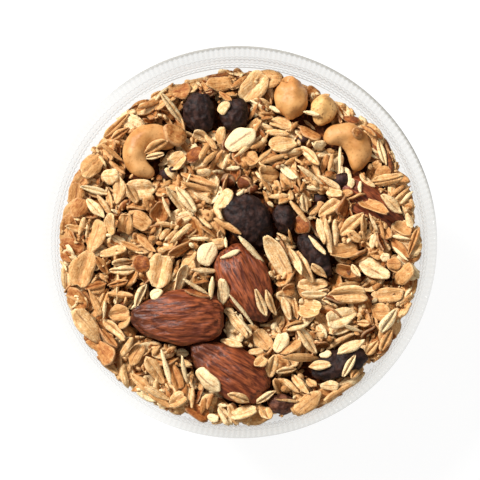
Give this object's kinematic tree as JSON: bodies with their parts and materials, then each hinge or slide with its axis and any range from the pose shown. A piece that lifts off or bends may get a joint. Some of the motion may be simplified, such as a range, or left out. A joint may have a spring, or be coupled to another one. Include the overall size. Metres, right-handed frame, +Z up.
{
  "type": "bowl of granola",
  "caption": "Small clear plastic bowl with a ribbed collar, filled to its ledge with toasted oat granola, whole almonds, cashews, nut pieces and dark dried fruit",
  "frame": {"origin": "middle of the bowl's underside, on the surface it stands on", "axes": "+Z up out of the bowl's mouth, +X to the right and +Y to the top of the picture, which looks straight down"},
  "size_m": [0.098, 0.098, 0.0513],
  "materials": {
    "clear_plastic": "clear, glossy, thin-walled, finely ribbed round the collar",
    "oat_flakes": null,
    "almond_skin": null,
    "cashew": null,
    "nut_piece": null,
    "dried_fruit": null
  },
  "bodies": {
    "root": {"bowl": "clear_plastic", "granola": "oat_flakes", "almond_1": "almond_skin", "almond_2": "almond_skin", "almond_3": "almond_skin", "almond_4": "almond_skin", "cashew_1": "cashew", "cashew_2": "cashew", "nut_1": "nut_piece", "nut_2": "nut_piece", "dried_fruit_1": "dried_fruit", "dried_fruit_2": "dried_fruit", "dried_fruit_3": "dried_fruit", "dried_fruit_4": "dried_fruit", "dried_fruit_5": "dried_fruit", "dried_fruit_6": "dried_fruit", "dried_fruit_7": "dried_fruit"}
  },
  "joints": []
}
